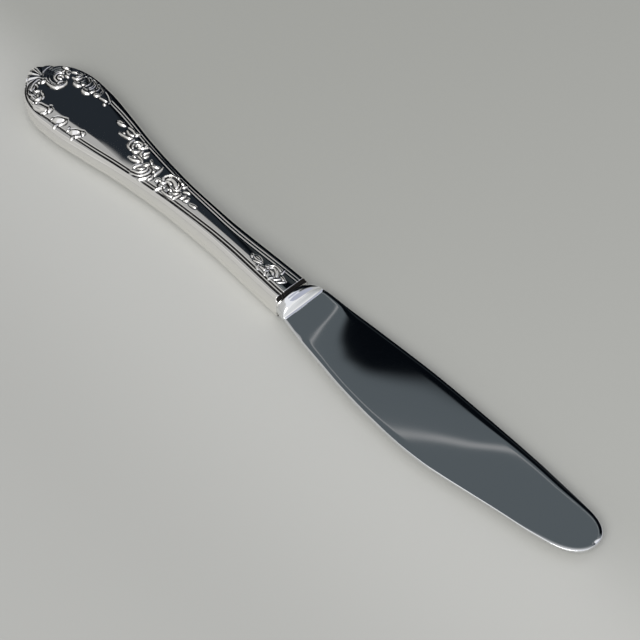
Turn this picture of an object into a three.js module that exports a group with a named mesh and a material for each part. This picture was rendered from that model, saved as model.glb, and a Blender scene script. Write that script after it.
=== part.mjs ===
// A dinner knife lying on its side. The handle is hollow: two stamped silver halves are soldered
// together along their narrow sides, and the blade's tang is cemented into them.
// Millimetres, +Z up. X runs from the butt of the handle to the tip of the blade, the cutting
// edge faces -Y, and the plane where the two halves meet is level.
import * as THREE from "three";
import { mergeVertices } from "three/addons/utils/BufferGeometryUtils.js";

// Driving dimensions: the whole knife
const knifeLength = 215.5;
const handleLength = 111.4;

// Driving dimensions: the handle's halves
const buttWidth = 22.8;
const buttEndLength = 18;
const waistWidth = 9.8;
const waistPlace = 82;
const mouthWidth = 11.3;
const buttThickness = 5.4;
const mouthThickness = 8.14;
const sheetThickness = 0.7;
const shoulderWidth = 1.7;
const crownRadius = 120;
const grooveDepth = 0.18;
const groovePitch = 0.7;
const grooveStart = 31;
const grooveFade = 5;
const shellRibDepth = 0.22;
const shellLength = 5.2;
const shellNotchDepth = 0.3;
const solderThickness = 0.16;

// Driving dimensions: the blade, its bolster and its tang
const bladeBelly = 11.4;
const bladeBack = 10.6;
const bladeTipHeight = 3.6;
const bladeTipLength = 9;
const bladeThickness = 1.8;
const edgeThickness = 0.4;
const bladeTipThickness = 1.1;
const bolsterLength = 7.2;
const bolsterInset = 0.25;
const tangLength = 62;
const tangRootWidth = 4.4;
const tangEndWidth = 2.6;
const tangRootThickness = 2.8;
const tangEndThickness = 1.8;

// Driving dimensions: the cement round the tang
const cementDepth = 70;
const cementClearance = 0.3;

// How finely the forms are stepped
const ribSteps = 4;
const endSteps = 10;
const sideSteps = 20;
const shoulderSteps = 4;
const panelSteps = 6;
const innerSteps = 3;
const ringSteps = 12;
const bolsterSteps = 8;
const bladeSteps = 20;
const tipSteps = 8;
const tangSteps = 4;
const cementSteps = 10;

// Shape shares: exponents of the rounded forms and tables of [share along, share of the size]
const buttRoundShare = 1.4;
const buttCloseShare = 0.1;
const shellNotchShare = 0.25;
const shoulderRoundShare = 2.6;
const taperShares = [[0, 1], [0.08, 0.97], [0.27, 0.7], [0.43, 0.425], [0.6, 0.21], [0.775, 0.065], [1, 0]];
const riseShares = [[0, 0], [0.25, 0.07], [0.5, 0.35], [0.75, 0.76], [1, 1]];
const bladeBackShares = [[0, 0.49], [0.025, 0.7], [0.055, 0.775], [0.107, 0.803], [0.209, 0.872], [0.309, 0.933],
  [0.409, 0.983], [0.51, 1], [0.661, 0.998], [0.76, 0.985], [0.861, 0.94], [0.934, 0.894], [1, 0.845]];
const bladeEdgeShares = [[0, 0.453], [0.04, 0.52], [0.075, 0.6], [0.111, 0.678], [0.199, 0.8], [0.283, 0.905],
  [0.4, 0.985], [0.485, 1], [0.567, 0.96], [0.625, 0.882], [0.709, 0.743], [0.79, 0.61], [0.859, 0.51],
  [0.93, 0.37], [1, 0.21]];
const bladeTipRoundShare = 2.7;
const bolsterDropShares = [[0, 1], [0.12, 0.93], [0.3, 0.72], [0.55, 0.33], [0.78, 0.08], [1, 0]];
const bladeGrindShare = 0.3;
const spineRoundShare = 0.06;
const spineEdgeShare = 0.45;
const bolsterRoundShare = 3.2;
const tangRoundShare = 4;
const cementRoundShare = 2.6;
const shellRibs = 4;

const silver = new THREE.MeshStandardMaterial({ color: 0xd9d6ce, roughness: 0.18, metalness: 1 });
const solder = new THREE.MeshStandardMaterial({ color: 0xb9b7b0, roughness: 0.4, metalness: 1 });
const steel = new THREE.MeshStandardMaterial({ color: 0xc4c8cc, roughness: 0.1, metalness: 1 });
const cement = new THREE.MeshStandardMaterial({ color: 0x6b5138, roughness: 0.9, metalness: 0 });

// A smooth curve through a table of [place, value] pairs that never overshoots them
function smoothTable(table, place) {
  const last = table.length - 1;
  const grades = table.slice(1).map((pair, index) => (pair[1] - table[index][1]) / (pair[0] - table[index][0]));
  const slopes = table.map((pair, index) => {
    const before = grades[Math.max(index - 1, 0)];
    const after = grades[Math.min(index, last - 1)];
    return before * after <= 0 ? 0 : 2 * before * after / (before + after);
  });
  slopes[0] = (3 * grades[0] - slopes[1]) / 2;
  slopes[last] = (3 * grades[last - 1] - slopes[last - 1]) / 2;
  let step = 0;
  while (step < last - 1 && place > table[step + 1][0]) {
    step += 1;
  }
  const width = table[step + 1][0] - table[step][0];
  const t = THREE.MathUtils.clamp((place - table[step][0]) / width, 0, 1);
  const rise = smooth(t, 0, 1);
  return table[step][1] * (1 - rise) + table[step + 1][1] * rise
    + slopes[step] * width * t * (1 - t) * (1 - t) - slopes[step + 1] * width * t * t * (1 - t);
}

function smooth(value, low, high) {
  return THREE.MathUtils.smoothstep(value, low, high);
}

// Points of one closed body: rings of equal length are skinned one after another. Rings that
// fold flat close the body by themselves, and a cap closes a ring that stays open.
function skinRings(rings, capFirst, capLast) {
  const points = rings.flat();
  const size = rings[0].length;
  const faces = [];
  for (let ring = 0; ring + 1 < rings.length; ring += 1) {
    for (let side = 0; side < size; side += 1) {
      const next = (side + 1) % size;
      const a = ring * size + side;
      const b = ring * size + next;
      const c = (ring + 1) * size + side;
      const d = (ring + 1) * size + next;
      faces.push([a, c, b], [b, c, d]);
    }
  }
  if (capFirst) {
    for (const face of capFaces(rings[0])) {
      faces.push([face[0], face[1], face[2]]);
    }
  }
  if (capLast) {
    const start = (rings.length - 1) * size;
    for (const face of capFaces(rings[rings.length - 1])) {
      faces.push([start + face[0], start + face[2], start + face[1]]);
    }
  }
  return closedGeometry(points, faces);
}

// Triangles over an end ring, which lies square to X, turned the way the ring runs
function capFaces(ring) {
  const outline = ring.map((point) => new THREE.Vector2(point.y, point.z));
  const faces = THREE.ShapeUtils.triangulateShape(outline, []);
  const ringTurn = Math.sign(THREE.ShapeUtils.area(outline));
  return faces.map((face) => {
    const faceTurn = Math.sign(THREE.ShapeUtils.area(face.map((corner) => outline[corner])));
    return faceTurn === ringTurn ? face : [face[0], face[2], face[1]];
  });
}

// A geometry whose equal points are one point and whose empty triangles are gone
function closedGeometry(points, faces) {
  const loose = new THREE.BufferGeometry();
  loose.setAttribute("position", new THREE.Float32BufferAttribute(points.flatMap((p) => [p.x, p.y, p.z]), 3));
  loose.setIndex(faces.flat());
  const merged = mergeVertices(loose, 1e-4);
  const old = merged.index.array;
  const kept = [];
  for (let corner = 0; corner < old.length; corner += 3) {
    const [a, b, c] = [old[corner], old[corner + 1], old[corner + 2]];
    if (a !== b && b !== c && c !== a) {
      kept.push(a, b, c);
    }
  }
  merged.setIndex(kept);
  merged.computeVertexNormals();
  return merged;
}

// The turn round the butt's end at which the cast shell gives way to the scrolls
const shellTurn = Math.acos(1 - shellLength / buttEndLength) * 2 / Math.PI;

// The handle seen from above: half its width at a place along it
function handleHalfWidth(x) {
  if (x < buttEndLength) {
    const left = 1 - x / buttEndLength;
    return buttWidth / 2 * Math.pow(1 - left * left, 1 / buttRoundShare);
  }
  if (x < waistPlace) {
    const full = smoothTable(taperShares, (x - buttEndLength) / (waistPlace - buttEndLength));
    return waistWidth / 2 + (buttWidth - waistWidth) / 2 * full;
  }
  return waistWidth / 2 + (mouthWidth - waistWidth) / 2 * smooth(x, waistPlace, handleLength);
}

// The height of the handle's border above the middle plane
function faceHeight(x) {
  const rise = smoothTable(riseShares, x / handleLength);
  return buttThickness / 2 + (mouthThickness - buttThickness) / 2 * rise;
}

// Stations round half of the handle's outline, from the mouth to the middle of the butt. Each
// holds its place, its half width, the direction towards the inside and its turn round the butt.
function outlineStations() {
  const stations = [];
  for (let step = 0; step < sideSteps; step += 1) {
    const x = handleLength - (handleLength - buttEndLength) * step / sideSteps;
    const reach = buttEndLength / sideSteps;
    const slope = (handleHalfWidth(Math.min(x + reach, handleLength)) - handleHalfWidth(x - reach)) / (2 * reach);
    const inward = step === 0 ? new THREE.Vector2(0, -1) : new THREE.Vector2(slope, -1).normalize();
    stations.push({ x, half: handleHalfWidth(x), inward, turn: 1 });
  }
  const shellSteps = shellRibs * ribSteps;
  for (let step = 0; step <= endSteps + shellSteps; step += 1) {
    const shellLeft = (endSteps + shellSteps - step) / shellSteps;
    const turn = step < endSteps ? 1 - (1 - shellTurn) * step / endSteps : shellTurn * shellLeft;
    const angle = turn * Math.PI / 2;
    const x = buttEndLength * (1 - Math.cos(angle));
    const across = buttWidth / buttRoundShare * Math.cos(angle);
    const inward = new THREE.Vector2(across, -buttEndLength * Math.pow(Math.sin(angle), 2 - 2 / buttRoundShare));
    stations.push({ x, half: handleHalfWidth(x), inward: inward.normalize(), turn });
  }
  return stations;
}

// How deep the valleys between the ribs of the cast shell lie at a station, as a share
function shellWave(station) {
  if (station.turn > shellTurn) {
    return 0;
  }
  return (1 - Math.cos(station.turn / shellTurn * Math.PI * 2 * shellRibs)) / 2;
}

function shellNotch(station) {
  const away = (station.x - shellLength) / (shellLength * shellNotchShare);
  return Math.exp(-away * away);
}

// One side of a ring across a stamped half: [inset, height] pairs from the rim to the panel
function outerProfile(station) {
  const seam = solderThickness / 2;
  const top = faceHeight(station.x);
  const grooves = grooveDepth * smooth(station.x, grooveStart - grooveFade, grooveStart);
  const ribs = shellRibDepth * shellWave(station);
  const notch = shellNotchDepth * shellNotch(station) + ribs;
  const pairs = [];
  for (let step = 0; step <= shoulderSteps; step += 1) {
    const angle = step / shoulderSteps * Math.PI / 2;
    const inset = 1 - Math.pow(Math.cos(angle), 2 / shoulderRoundShare);
    const height = Math.pow(Math.sin(angle), 2 / shoulderRoundShare);
    const share = step === shoulderSteps ? 1 : inset;
    pairs.push([notch * (1 - share) + shoulderWidth * share, seam + (top - seam) * height - ribs * height]);
  }
  const thread = shoulderWidth + groovePitch / 2;
  pairs.push([thread, top - grooves - ribs]);
  pairs.push([thread + groovePitch / 2, top - ribs]);
  pairs.push([thread + groovePitch, top - grooves - ribs]);
  pairs.push([thread + groovePitch * 1.5, top - ribs]);
  return pairs;
}

function innerProfile(station) {
  const seam = solderThickness / 2;
  const top = faceHeight(station.x) - sheetThickness;
  const pairs = [];
  for (let step = 0; step <= innerSteps; step += 1) {
    const angle = step / innerSteps * Math.PI / 2;
    const inset = 1 - Math.pow(Math.cos(angle), 2 / shoulderRoundShare);
    const height = Math.pow(Math.sin(angle), 2 / shoulderRoundShare);
    const share = step === innerSteps ? 1 : inset;
    pairs.push([sheetThickness + shellNotchDepth * (1 - share) + shoulderWidth * share,
      seam + (top - seam) * height]);
  }
  return pairs;
}

// A point of a half, found by going inwards from its outline. Round the butt the points draw
// together towards the middle without reaching it.
function insetPoint(station, inset, height, side) {
  const x = station.x + station.inward.x * inset;
  const y = Math.max(station.half + station.inward.y * inset, station.half * buttCloseShare);
  return new THREE.Vector3(x, side * y, height);
}

function panelPoint(station, inset, height, share) {
  const edge = insetPoint(station, inset, height, 1);
  const rise = edge.y * edge.y / (2 * crownRadius);
  const across = 2 * share - 1;
  return new THREE.Vector3(edge.x, edge.y * across, height + rise * (1 - across * across));
}

// A closed ring across a half: up its near side, over the panel, down the far side and back inside
function halfRing(station) {
  const outer = outerProfile(station);
  const inner = innerProfile(station);
  const [panelInset, panelHeight] = outer[outer.length - 1];
  const [roofInset, roofHeight] = inner[inner.length - 1];
  const ring = outer.map(([inset, height]) => insetPoint(station, inset, height, -1));
  for (let step = 1; step < panelSteps; step += 1) {
    ring.push(panelPoint(station, panelInset, panelHeight, step / panelSteps));
  }
  outer.slice().reverse().forEach(([inset, height]) => ring.push(insetPoint(station, inset, height, 1)));
  inner.forEach(([inset, height]) => ring.push(insetPoint(station, inset, height, 1)));
  ring.push(panelPoint(station, roofInset, roofHeight, 1 / 2));
  inner.slice().reverse().forEach(([inset, height]) => ring.push(insetPoint(station, inset, height, -1)));
  return ring;
}

// One stamped half of the handle. The other half is the same stamping turned over.
function handleHalf(stations) {
  return skinRings(stations.map(halfRing).reverse(), false, true);
}

// The solder: a thin U-shaped film between the rims of the two halves
function solderFilm(stations) {
  const seam = solderThickness / 2;
  const rings = stations.map((station) => {
    const outer = outerProfile(station)[0][0];
    const inner = innerProfile(station)[0][0];
    return [[outer, seam, -1], [inner, seam, -1], [inner, -seam, -1], [outer, -seam, -1]].map(
      ([inset, height, side]) => insetPoint(station, inset, height, side));
  });
  const farRings = rings.slice(0, -1).reverse().map((ring) => ring.map(
    (point) => new THREE.Vector3(point.x, -point.y, point.z)));
  return skinRings(rings.concat(farRings).reverse(), true, true);
}

// A ring of points square to X, from the near side over the top to the far side and back below.
// shape gives the half thickness at a share across, and low and high are the ring's two sides.
function crossRing(x, low, high, shape) {
  const ring = [];
  const first = Math.PI / ringSteps / 2;
  for (let step = 0; step < ringSteps; step += 1) {
    const angle = (step + 1 / 2) * Math.PI / ringSteps;
    const share = (1 - Math.cos(angle) / Math.cos(first)) / 2;
    ring.push([low + (high - low) * share, shape(share, angle)]);
  }
  const below = ring.slice().reverse().map(([y, z]) => [y, -z]);
  return ring.concat(below).map(([y, z]) => new THREE.Vector3(x, y, z));
}

function roundedShape(halfThickness, roundness) {
  return (share, angle) => {
    const across = Math.abs(Math.cos(angle));
    return halfThickness * Math.pow(1 - Math.pow(across, roundness), 1 / roundness);
  };
}

// The flat of the blade: ground down to the cutting edge, level in the middle, eased at the back
function bladeShape(halfThickness) {
  return (share) => {
    const edge = edgeThickness / 2;
    const grind = Math.sin(Math.min(share / bladeGrindShare, 1) * Math.PI / 2);
    const back = smooth(share, 1 - spineRoundShare, 1) * (1 - spineEdgeShare);
    return (edge + (halfThickness - edge) * grind) * (1 - back);
  };
}

// The blade's outline: how far it reaches towards its edge and towards its back. The last stretch
// closes in a round tip that runs on from both sides without a corner.
function bladeReach(x) {
  const along = (x - handleLength) / (knifeLength - handleLength);
  const past = Math.max(x - knifeLength + bladeTipLength, 0) / bladeTipLength;
  const round = Math.pow(Math.max(1 - Math.pow(past, bladeTipRoundShare), 0), 1 / bladeTipRoundShare);
  const low = -bladeBelly * smoothTable(bladeEdgeShares, along);
  const high = bladeBack * smoothTable(bladeBackShares, along);
  return [bladeTipHeight + (low - bladeTipHeight) * round, bladeTipHeight + (high - bladeTipHeight) * round];
}

// The blade, its bolster and its tang, forged in one
function bladeForging() {
  const rings = [];
  for (let step = 0; step <= tangSteps; step += 1) {
    const share = step / tangSteps;
    const x = handleLength - tangLength * (1 - share);
    const half = (tangEndWidth + (tangRootWidth - tangEndWidth) * share) / 2;
    const halfThickness = (tangEndThickness + (tangRootThickness - tangEndThickness) * share) / 2;
    rings.push(crossRing(x, -half, half, roundedShape(halfThickness, tangRoundShare)));
  }
  const bolsterHalf = faceHeight(handleLength) - bolsterInset;
  const flat = bladeThickness / 2;
  for (let step = 0; step <= bolsterSteps; step += 1) {
    const share = step / bolsterSteps;
    const x = handleLength + bolsterLength * share;
    const drop = smoothTable(bolsterDropShares, share);
    const [low, high] = bladeReach(x);
    const mouthHalf = mouthWidth / 2 - bolsterInset;
    const grown = smooth(share, 0, 1 / 2);
    const thick = flat + (bolsterHalf - flat) * drop;
    const round = roundedShape(thick, bolsterRoundShare);
    const ground = bladeShape(thick);
    rings.push(crossRing(x, -mouthHalf + (low + mouthHalf) * grown, mouthHalf + (high - mouthHalf) * grown,
      (across, angle) => round(across, angle) * drop + ground(across) * (1 - drop)));
  }
  const bladeStart = handleLength + bolsterLength;
  const tipStart = knifeLength - bladeTipLength;
  for (let step = 1; step <= bladeSteps; step += 1) {
    const x = bladeStart + (tipStart - bladeStart) * step / bladeSteps;
    rings.push(crossRing(x, ...bladeReach(x), bladeShape(flat)));
  }
  for (let step = 1; step < tipSteps; step += 1) {
    const angle = step / tipSteps * Math.PI / 2;
    const x = tipStart + bladeTipLength * Math.pow(Math.sin(angle), 2 / bladeTipRoundShare);
    const thin = flat + (bladeTipThickness / 2 - flat) * Math.sin(angle);
    rings.push(crossRing(x, ...bladeReach(x), bladeShape(thin)));
  }
  rings.push(crossRing(knifeLength, bladeTipHeight, bladeTipHeight, () => edgeThickness / 2));
  return skinRings(rings, true, false);
}

// The cement: fills the handle from the mouth past the end of the tang, with the tang's hole in it
function cementFill() {
  const rings = [];
  const front = handleLength - cementClearance;
  for (let step = 0; step <= cementSteps; step += 1) {
    const x = front - (cementDepth - cementClearance) * (1 - step / cementSteps);
    const half = handleHalfWidth(x) - sheetThickness - shellNotchDepth - cementClearance;
    const height = faceHeight(x) - sheetThickness - cementClearance;
    rings.push(crossRing(x, -half, half, roundedShape(height, cementRoundShare)));
  }
  for (let step = 0; step <= tangSteps; step += 1) {
    const share = 1 - step / tangSteps;
    const x = front - (tangLength * (1 - share));
    const half = (tangEndWidth + (tangRootWidth - tangEndWidth) * share) / 2 + cementClearance;
    const halfThickness = (tangEndThickness + (tangRootThickness - tangEndThickness) * share) / 2;
    rings.push(crossRing(x, -half, half, roundedShape(halfThickness + cementClearance, tangRoundShare)));
  }
  return skinRings(rings, true, true);
}

function piece(name, geometry, material) {
  const mesh = new THREE.Mesh(geometry, material);
  mesh.name = name;
  return mesh;
}

// The knife in its own frame: the origin is under the middle of its box, at its lowest point
const stations = outlineStations();
const handle = new THREE.Group();
const backHalf = piece("handle_back_half", handleHalf(stations), silver);
backHalf.rotation.x = Math.PI;
handle.add(piece("handle_front_half", handleHalf(stations), silver));
handle.add(backHalf);
handle.add(piece("solder_seam", solderFilm(stations), solder));

const knife = new THREE.Group();
knife.add(handle);
knife.add(piece("blade_with_tang", bladeForging(), steel));
knife.add(piece("tang_cement", cementFill(), cement));
const mouthPanel = panelPoint(stations[0], shoulderWidth + groovePitch * 2, faceHeight(handleLength), 1 / 2);
knife.position.set(-knifeLength / 2, 0, mouthPanel.z);

export default knife;
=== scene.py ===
# A dinner knife on a pale slab: a hollow silver handle stamped with scrolls, and a polished blade.
# Sizes are in millimetres and are turned to metres as each mesh is made. X is measured from the
# butt of the handle, Y from the knife's middle line and Z from the plane where its halves meet.
import math

import bmesh
import bpy
import numpy as np
from mathutils import Matrix, Vector


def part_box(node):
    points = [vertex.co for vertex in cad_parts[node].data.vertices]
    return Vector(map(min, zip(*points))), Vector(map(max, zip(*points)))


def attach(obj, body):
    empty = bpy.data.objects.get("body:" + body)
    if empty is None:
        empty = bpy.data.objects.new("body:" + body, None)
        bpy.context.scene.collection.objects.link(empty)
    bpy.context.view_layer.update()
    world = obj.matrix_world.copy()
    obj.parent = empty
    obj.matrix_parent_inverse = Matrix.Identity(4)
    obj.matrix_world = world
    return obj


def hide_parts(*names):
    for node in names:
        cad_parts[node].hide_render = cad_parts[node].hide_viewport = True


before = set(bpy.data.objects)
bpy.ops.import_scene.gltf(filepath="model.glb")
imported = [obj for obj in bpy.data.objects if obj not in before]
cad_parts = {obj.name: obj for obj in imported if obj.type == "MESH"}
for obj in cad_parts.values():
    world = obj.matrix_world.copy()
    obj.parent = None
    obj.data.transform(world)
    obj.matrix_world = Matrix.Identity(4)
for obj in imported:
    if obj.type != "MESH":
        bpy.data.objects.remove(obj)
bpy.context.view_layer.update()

# The camera stands off the edge side and beyond the tip, above the knife, and looks back down
# at it, as the photograph was taken. Its place and the directions of its right and up sides are
# in the knife's own frame.
METRE = 0.001
butt_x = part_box("handle_front_half")[0].x
seam_z = (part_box("handle_front_half")[0].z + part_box("handle_back_half")[1].z) / 2
origin = (butt_x, 0, seam_z)
camera_place = Vector((338.6, -200.29, 395.54))
camera_right = Vector((0.678814, 0.734310, 0.000321))
camera_up = Vector((-0.588146, 0.543435, 0.598968))
photo_pixels = 640
focal_pixels = 1900
sensor_width = 36


def in_scene(name, data):
    """A new object of the scene, of a mesh, a camera or a lamp"""
    piece = bpy.data.objects.new(name, data)
    bpy.context.scene.collection.objects.link(piece)
    return piece


camera_data = bpy.data.cameras.new("camera")
camera_data.sensor_width = sensor_width
camera_data.sensor_fit = "HORIZONTAL"
camera_data.lens = sensor_width * focal_pixels / photo_pixels
camera_data.clip_start = 0.01
camera = in_scene("camera", camera_data)
camera_back = camera_right.cross(camera_up).normalized()
camera_turn = Matrix((camera_right, camera_back.cross(camera_right), camera_back)).transposed()
camera.matrix_world = Matrix.Translation(camera_place * METRE + Vector(origin)) @ camera_turn.to_4x4()
bpy.context.scene.camera = camera


# The two halves of the handle are one stamping in silver sheet, used twice: once as it is and
# once turned over. The outline and the body of the stamping come first. A station is a place
# along its outline, from the mouth round to the middle of the butt.
handle_length = 111.4
butt_half = 11.4
butt_end = 18
waist_half = 4.9
waist_place = 82
mouth_half = 5.65
butt_height = 2.7
mouth_height = 4.07
sheet = 0.7
shoulder = 1.7
crown_radii = ((0, 24, 36, 111.4), (170, 160, 120, 120))
seam_half = 0.08
butt_round = 1.4
butt_close = 0.1
shoulder_round = 2.6
shoulder_shares = ((0, 4, 8, 14, 24, 111.4), (0.75, 0.5, 0.3, 0.6, 1, 1))
taper_shares = ((0, 0.08, 0.27, 0.43, 0.6, 0.775, 1), (1, 0.97, 0.7, 0.425, 0.21, 0.065, 0))
rise_shares = ((0, 0.25, 0.5, 0.75, 1), (0, 0.07, 0.35, 0.76, 1))
TINY = 1e-12


def smooth_table(table, place):
    """A smooth curve through a table of places and values that never overshoots them"""
    xs, ys = (np.array(row, float) for row in table)
    grades = np.diff(ys) / np.diff(xs)
    before, after = grades[:-1], grades[1:]
    between = np.where(before * after > 0, 2 * before * after / (before + after + TINY), 0)
    slopes = np.concatenate([[0], between, [0]])
    slopes[0] = (3 * grades[0] - slopes[1]) / 2
    slopes[-1] = (3 * grades[-1] - slopes[-2]) / 2
    step = np.clip(np.searchsorted(xs, place) - 1, 0, len(xs) - 2)
    width = xs[step + 1] - xs[step]
    t = np.clip((place - xs[step]) / width, 0, 1)
    rise = t * t * (3 - 2 * t)
    return (ys[step] * (1 - rise) + ys[step + 1] * rise
            + slopes[step] * width * t * (1 - t) ** 2 - slopes[step + 1] * width * t * t * (1 - t))


def ease(value, low, high):
    """0 below low, 1 above high and a smooth step between them"""
    t = np.clip((value - low) / (high - low), 0, 1)
    return t * t * (3 - 2 * t)


def half_width(x):
    """Half the handle's width at a place along it"""
    left = 1 - np.clip(x, 0, butt_end) / butt_end
    end = butt_half * (1 - left ** 2) ** (1 / butt_round)
    taper = waist_half + (butt_half - waist_half) * smooth_table(
        taper_shares, (x - butt_end) / (waist_place - butt_end))
    flare = waist_half + (mouth_half - waist_half) * ease(x, waist_place, handle_length)
    return np.where(x < butt_end, end, np.where(x < waist_place, taper, flare))


def border_height(x):
    """The height of the border above the seam"""
    return butt_height + (mouth_height - butt_height) * smooth_table(rise_shares, x / handle_length)


# The ornament of the stamping is laid out on a fine grid as heights over the plain panel. Each
# form is a stroke along a smooth route: its width and height are given at its start, middle and
# end, and it is pressed over what lies under it with a thin dark cut round it. A stroke is round
# across unless it names another section, and a groove is a stroke of negative height.
GRID = 0.08
grid_x = np.arange(0, handle_length + GRID, GRID)
grid_y = np.arange(-butt_half - GRID, butt_half + GRID, GRID)
relief = np.zeros((len(grid_x), len(grid_y)))
covered = np.zeros_like(relief)
cut_width = 0.22
groove_cut_width = 0.01
cut_depth = 0.14
panel_cut_depth = 0.04
least_half_width = 0.02
route_points = 28
fan_ridges = 2.5
comb_teeth = 6


def smooth_route(points):
    """Points of a smooth curve through the given ones"""
    p = np.array(points, float)
    if len(p) == 2:
        t = np.linspace(0, 1, route_points)[:, None]
        return p[0] * (1 - t) + p[1] * t
    p = np.vstack([2 * p[0] - p[1], p, 2 * p[-1] - p[-2]])
    out = []
    for a, b, c, d in zip(p, p[1:], p[2:], p[3:]):
        t = np.linspace(0, 1, route_points, endpoint=False)[:, None]
        out.append(0.5 * (2 * b + (c - a) * t + (2 * a - 5 * b + 4 * c - d) * t ** 2
                          + (3 * b - a - 3 * c + d) * t ** 3))
    return np.vstack(out + [p[-2:-1]])


def along(three, t):
    """A value given at the start, middle and end of a route"""
    start, middle, end = three
    return start * (1 - t) * (1 - 2 * t) + 4 * middle * t * (1 - t) + end * t * (2 * t - 1)


def section(kind, s, t):
    """The height across a stroke, from side s = -1 to 1 and along it from t = 0 to 1, as a share"""
    body = np.clip(1 - s * s, 0, 1)
    if kind == "cup":
        return (0.35 + 0.65 * s * s) * ease(1 - np.abs(s), 0, 0.3)
    if kind == "lip":
        return (0.3 + 0.7 * ease(s, -0.9, 0.6)) * ease(1 - np.abs(s), 0, 0.35)
    if kind == "fan":
        return (0.6 + 0.4 * np.cos(2 * np.pi * fan_ridges * s)) * body ** 0.5
    if kind == "comb":
        return (0.7 + 0.3 * np.cos(2 * np.pi * comb_teeth * t)) * body ** 0.7
    return body ** 0.75


def press(width, height, points, kind="round"):
    """Press one stroke of the ornament into the grid of heights"""
    route = smooth_route(points)
    ring_width = groove_cut_width if max(height) < 0 else cut_width
    reach = max(width) / 2 + ring_width
    i0, i1 = np.searchsorted(grid_x, (route[:, 0].min() - reach, route[:, 0].max() + reach))
    j0, j1 = np.searchsorted(grid_y, (route[:, 1].min() - reach, route[:, 1].max() + reach))
    gx, gy = np.meshgrid(grid_x[i0:i1], grid_y[j0:j1], indexing="ij")
    near = ((gx[..., None] - route[:, 0]) ** 2 + (gy[..., None] - route[:, 1]) ** 2).argmin(-1)
    away_x, away_y = gx - route[near, 0], gy - route[near, 1]
    distance = np.sqrt(away_x ** 2 + away_y ** 2)
    tangent = np.gradient(route, axis=0)[near]
    side = np.sign(tangent[..., 0] * away_y - tangent[..., 1] * away_x)
    t = near / (len(route) - 1)
    half = np.maximum(along(width, t) / 2, least_half_width)
    s = side * distance / half
    raised = along(height, t) * section(kind, s, t)
    patch = relief[i0:i1, j0:j1]
    ring = (distance >= half) & (distance < half + ring_width)
    share = 1 - ((distance - half) / ring_width) ** 2
    under = covered[i0:i1, j0:j1]
    cut = patch * (1 - share) - np.where(under > 0, cut_depth, panel_cut_depth) * share
    patch[ring] = cut[ring]
    inside = distance < half
    patch[inside] = raised[inside]
    under[inside | ring] = 1


# The shell at the butt has seven ribs that spread from a point by the middle line to the rim,
# which is scalloped between them. They are higher on the side of the edge. Two small notches part
# the shell from the scrolls beside it.
shell_point = (5.3, 0.1)
shell_end = 5.2
shell_waves = 3
rib_height = 0.24
rib_start = (0.4, 1.6)
rib_lean = 0.4
rib_lean_place = -1.2
rib_mean = 0.75
valley_power = 3
rib_depth = 0.16
rib_drop = 0.4
notch_depth = 0.1
notch_width = 1.3
rim_points = 400
shell_turn = math.acos(1 - shell_end / butt_end) * 2 / math.pi


def scallops(turn):
    """How deep the rim of the shell is let in, as a share, from its middle, turn 0, to its ends"""
    wave = (1 - np.cos(turn / shell_turn * 2 * np.pi * shell_waves)) / 2
    return np.where(np.abs(turn) < shell_turn, wave, 0)


rim_turn = np.linspace(-shell_turn, shell_turn, rim_points)
rim_x = butt_end * (1 - np.cos(rim_turn * np.pi / 2))
rim_y = np.sign(rim_turn) * half_width(rim_x)
away_x, away_y = shell_point[0] - grid_x[:, None], grid_y - shell_point[1]
rim_bearing = np.arctan2(rim_y - shell_point[1], shell_point[0] - rim_x)
grid_turn = np.interp(np.arctan2(away_y, away_x), rim_bearing, rim_turn, left=1, right=1)
rib = (1 - scallops(grid_turn) ** valley_power) * ease(np.hypot(away_x, away_y), *rib_start)
rib = rib * (rib_mean - rib_lean * np.tanh(away_y - rib_lean_place))
on_shell = np.abs(grid_turn) < shell_turn
relief[on_shell] = (rib_height * rib)[on_shell]
covered[on_shell] = 1

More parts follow.
